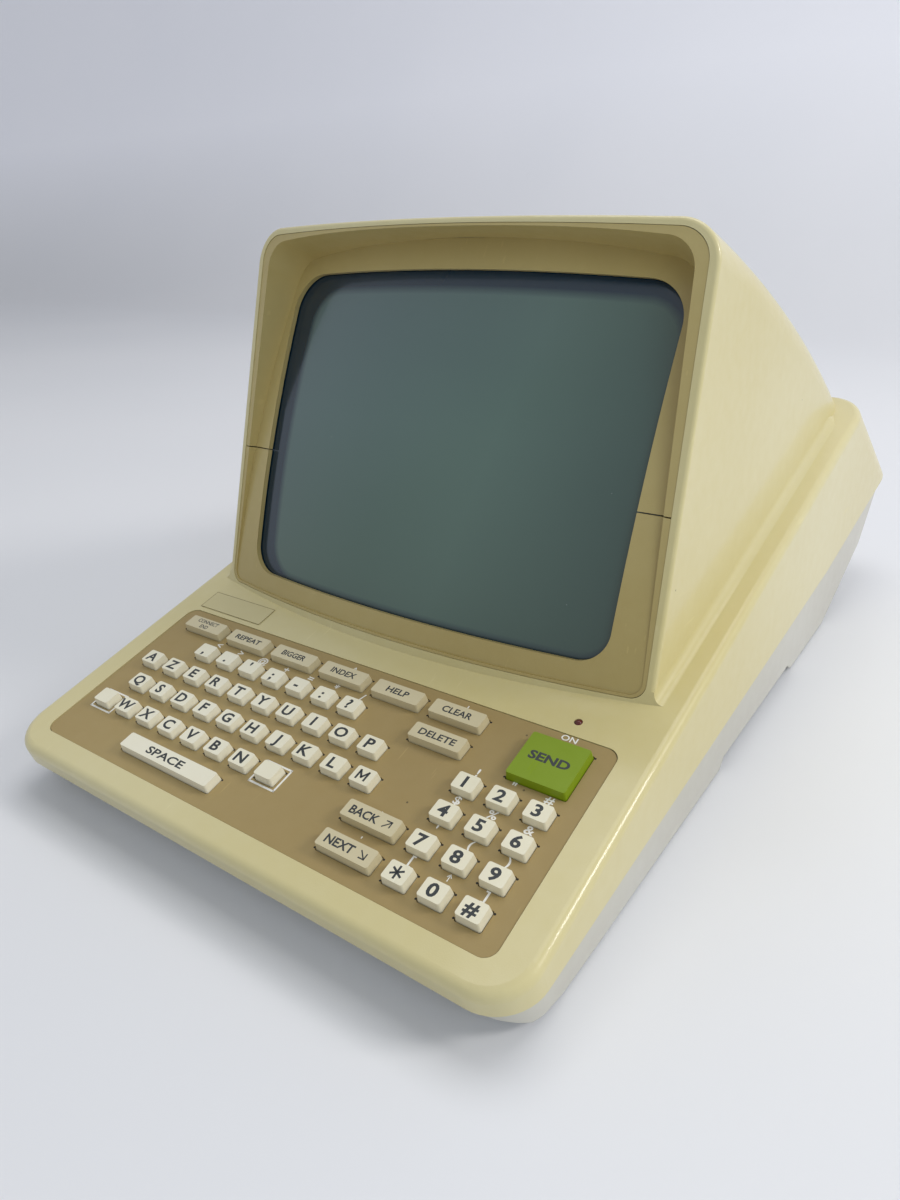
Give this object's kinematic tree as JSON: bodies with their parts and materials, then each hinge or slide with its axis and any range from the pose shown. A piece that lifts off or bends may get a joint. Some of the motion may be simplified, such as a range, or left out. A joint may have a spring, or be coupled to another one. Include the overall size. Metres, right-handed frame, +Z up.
{
  "type": "videotex terminal",
  "caption": "Desktop videotex terminal: sloping one-piece case with a hooded picture tube and a fixed keyboard of small square keys.",
  "frame": {"origin": "on the table, under the centre of the terminal's outline", "axes": "+X to the user's right, +Y from the keyboard to the rear, +Z up"},
  "size_m": [0.2536, 0.4452, 0.2155],
  "materials": {
    "case_beige": "fine moulded grain, yellowed",
    "tray_grey": "fine moulded grain",
    "foot_rubber": "matt",
    "steel": "zinc plated",
    "surround_tan": "fine moulded grain",
    "tube_glass": "grey-green picture tube glass",
    "coil_brown": "lacquered copper coils",
    "black_rubber": "matt",
    "board_green": "fibreglass board",
    "panel_brown": "fine moulded grain",
    "mat_grey": "matt",
    "lamp_red": "clear red lens",
    "black_plastic": "matt",
    "iron": "laminated iron",
    "aluminium_bare": "extruded",
    "key_cream": "fine satin",
    "key_tan": "fine satin",
    "key_green": "fine satin"
  },
  "bodies": {
    "housing": {"upper_case": "case_beige", "lower_case": "tray_grey", "rubber_feet": "foot_rubber", "case_screws": "steel", "screen_surround_upper": "surround_tan", "screen_surround_lower": "surround_tan", "picture_tube": "tube_glass", "tube_band": "steel", "tube_screws": "steel", "deflection_yoke": "coil_brown", "anode_cap": "black_rubber", "tube_socket_board": "board_green", "keyboard_panel": "panel_brown", "keyboard_mat": "mat_grey", "keyboard_board": "board_green", "status_lamp": "lamp_red", "main_board": "board_green", "board_parts": "black_plastic", "board_screws": "steel", "line_transformer": "black_plastic", "mains_transformer": "iron", "heat_sink": "aluminium_bare", "sounder": "black_plastic", "power_switch": "black_plastic", "brightness_control": "black_plastic", "data_socket": "black_plastic", "mains_gland": "black_plastic", "line_gland": "black_plastic"},
    "key_connect": {"key_connect": "key_tan"},
    "key_repeat": {"key_repeat": "key_tan"},
    "key_zoom": {"key_zoom": "key_tan"},
    "key_index": {"key_index": "key_tan"},
    "key_guide": {"key_guide": "key_tan"},
    "key_cancel": {"key_cancel": "key_tan"},
    "keys_punctuation_row": {"keys_punctuation_row": "key_cream"},
    "keys_upper_letter_row": {"keys_upper_letter_row": "key_cream"},
    "keys_middle_letter_row": {"keys_middle_letter_row": "key_cream"},
    "keys_lower_letter_row": {"keys_lower_letter_row": "key_cream"},
    "key_shift_left": {"key_shift_left": "key_tan"},
    "key_shift_right": {"key_shift_right": "key_tan"},
    "key_space": {"key_space": "key_cream"},
    "key_correction": {"key_correction": "key_tan"},
    "key_back": {"key_back": "key_tan"},
    "key_next": {"key_next": "key_tan"},
    "key_send": {"key_send": "key_green"},
    "key_1": {"key_1": "key_cream"},
    "key_2": {"key_2": "key_cream"},
    "key_3": {"key_3": "key_cream"},
    "key_4": {"key_4": "key_cream"},
    "key_5": {"key_5": "key_cream"},
    "key_6": {"key_6": "key_cream"},
    "key_7": {"key_7": "key_cream"},
    "key_8": {"key_8": "key_cream"},
    "key_9": {"key_9": "key_cream"},
    "key_star": {"key_star": "key_cream"},
    "key_0": {"key_0": "key_cream"},
    "key_hash": {"key_hash": "key_cream"},
    "power_rocker": {"power_rocker": "black_plastic"},
    "brightness_knob": {"brightness_knob": "black_plastic"}
  },
  "joints": [
    {"name": "key_connect_press", "type": "slide", "parent": "housing", "child": "key_connect", "axis": [0, 0.2622, -0.965], "range_m": [0, 0.0022], "stiffness_N_per_m": 250, "springref_m": -0.0008},
    {"name": "key_repeat_press", "type": "slide", "parent": "housing", "child": "key_repeat", "axis": [0, 0.2622, -0.965], "range_m": [0, 0.0022], "stiffness_N_per_m": 250, "springref_m": -0.0008},
    {"name": "key_zoom_press", "type": "slide", "parent": "housing", "child": "key_zoom", "axis": [0, 0.2622, -0.965], "range_m": [0, 0.0022], "stiffness_N_per_m": 250, "springref_m": -0.0008},
    {"name": "key_index_press", "type": "slide", "parent": "housing", "child": "key_index", "axis": [0, 0.2622, -0.965], "range_m": [0, 0.0022], "stiffness_N_per_m": 250, "springref_m": -0.0008},
    {"name": "key_guide_press", "type": "slide", "parent": "housing", "child": "key_guide", "axis": [0, 0.2622, -0.965], "range_m": [0, 0.0022], "stiffness_N_per_m": 250, "springref_m": -0.0008},
    {"name": "key_cancel_press", "type": "slide", "parent": "housing", "child": "key_cancel", "axis": [0, 0.2622, -0.965], "range_m": [0, 0.0022], "stiffness_N_per_m": 250, "springref_m": -0.0008},
    {"name": "keys_punctuation_row_press", "type": "slide", "parent": "housing", "child": "keys_punctuation_row", "axis": [0, 0.2622, -0.965], "range_m": [0, 0.0022], "stiffness_N_per_m": 420, "springref_m": -0.0008},
    {"name": "keys_upper_letter_row_press", "type": "slide", "parent": "housing", "child": "keys_upper_letter_row", "axis": [0, 0.2622, -0.965], "range_m": [0, 0.0022], "stiffness_N_per_m": 600, "springref_m": -0.0008},
    {"name": "keys_middle_letter_row_press", "type": "slide", "parent": "housing", "child": "keys_middle_letter_row", "axis": [0, 0.2622, -0.965], "range_m": [0, 0.0022], "stiffness_N_per_m": 600, "springref_m": -0.0008},
    {"name": "keys_lower_letter_row_press", "type": "slide", "parent": "housing", "child": "keys_lower_letter_row", "axis": [0, 0.2622, -0.965], "range_m": [0, 0.0022], "stiffness_N_per_m": 360, "springref_m": -0.0008},
    {"name": "key_shift_left_press", "type": "slide", "parent": "housing", "child": "key_shift_left", "axis": [0, 0.2622, -0.965], "range_m": [0, 0.0022], "stiffness_N_per_m": 250, "springref_m": -0.0008},
    {"name": "key_shift_right_press", "type": "slide", "parent": "housing", "child": "key_shift_right", "axis": [0, 0.2622, -0.965], "range_m": [0, 0.0022], "stiffness_N_per_m": 250, "springref_m": -0.0008},
    {"name": "key_space_press", "type": "slide", "parent": "housing", "child": "key_space", "axis": [0, 0.2622, -0.965], "range_m": [0, 0.0022], "stiffness_N_per_m": 250, "springref_m": -0.0008},
    {"name": "key_correction_press", "type": "slide", "parent": "housing", "child": "key_correction", "axis": [0, 0.2622, -0.965], "range_m": [0, 0.0022], "stiffness_N_per_m": 250, "springref_m": -0.0008},
    {"name": "key_back_press", "type": "slide", "parent": "housing", "child": "key_back", "axis": [0, 0.2622, -0.965], "range_m": [0, 0.0022], "stiffness_N_per_m": 250, "springref_m": -0.0008},
    {"name": "key_next_press", "type": "slide", "parent": "housing", "child": "key_next", "axis": [0, 0.2622, -0.965], "range_m": [0, 0.0022], "stiffness_N_per_m": 250, "springref_m": -0.0008},
    {"name": "key_send_press", "type": "slide", "parent": "housing", "child": "key_send", "axis": [0, 0.2622, -0.965], "range_m": [0, 0.0022], "stiffness_N_per_m": 250, "springref_m": -0.0008},
    {"name": "key_1_press", "type": "slide", "parent": "housing", "child": "key_1", "axis": [0, 0.2622, -0.965], "range_m": [0, 0.0022], "stiffness_N_per_m": 250, "springref_m": -0.0008},
    {"name": "key_2_press", "type": "slide", "parent": "housing", "child": "key_2", "axis": [0, 0.2622, -0.965], "range_m": [0, 0.0022], "stiffness_N_per_m": 250, "springref_m": -0.0008},
    {"name": "key_3_press", "type": "slide", "parent": "housing", "child": "key_3", "axis": [0, 0.2622, -0.965], "range_m": [0, 0.0022], "stiffness_N_per_m": 250, "springref_m": -0.0008},
    {"name": "key_4_press", "type": "slide", "parent": "housing", "child": "key_4", "axis": [0, 0.2622, -0.965], "range_m": [0, 0.0022], "stiffness_N_per_m": 250, "springref_m": -0.0008},
    {"name": "key_5_press", "type": "slide", "parent": "housing", "child": "key_5", "axis": [0, 0.2622, -0.965], "range_m": [0, 0.0022], "stiffness_N_per_m": 250, "springref_m": -0.0008},
    {"name": "key_6_press", "type": "slide", "parent": "housing", "child": "key_6", "axis": [0, 0.2622, -0.965], "range_m": [0, 0.0022], "stiffness_N_per_m": 250, "springref_m": -0.0008},
    {"name": "key_7_press", "type": "slide", "parent": "housing", "child": "key_7", "axis": [0, 0.2622, -0.965], "range_m": [0, 0.0022], "stiffness_N_per_m": 250, "springref_m": -0.0008},
    {"name": "key_8_press", "type": "slide", "parent": "housing", "child": "key_8", "axis": [0, 0.2622, -0.965], "range_m": [0, 0.0022], "stiffness_N_per_m": 250, "springref_m": -0.0008},
    {"name": "key_9_press", "type": "slide", "parent": "housing", "child": "key_9", "axis": [0, 0.2622, -0.965], "range_m": [0, 0.0022], "stiffness_N_per_m": 250, "springref_m": -0.0008},
    {"name": "key_star_press", "type": "slide", "parent": "housing", "child": "key_star", "axis": [0, 0.2622, -0.965], "range_m": [0, 0.0022], "stiffness_N_per_m": 250, "springref_m": -0.0008},
    {"name": "key_0_press", "type": "slide", "parent": "housing", "child": "key_0", "axis": [0, 0.2622, -0.965], "range_m": [0, 0.0022], "stiffness_N_per_m": 250, "springref_m": -0.0008},
    {"name": "key_hash_press", "type": "slide", "parent": "housing", "child": "key_hash", "axis": [0, 0.2622, -0.965], "range_m": [0, 0.0022], "stiffness_N_per_m": 250, "springref_m": -0.0008},
    {"name": "power_rocker_tilt", "type": "hinge", "parent": "housing", "child": "power_rocker", "pos_m": [-0.056, 0.18181, 0.09047], "axis": [-1, 0, 0], "range_deg": [0, 18]},
    {"name": "brightness_turn", "type": "hinge", "parent": "housing", "child": "brightness_knob", "pos_m": [0, 0.18181, 0.09047], "axis": [0, 0.5255, 0.8508], "range_deg": [0, 270]}
  ]
}
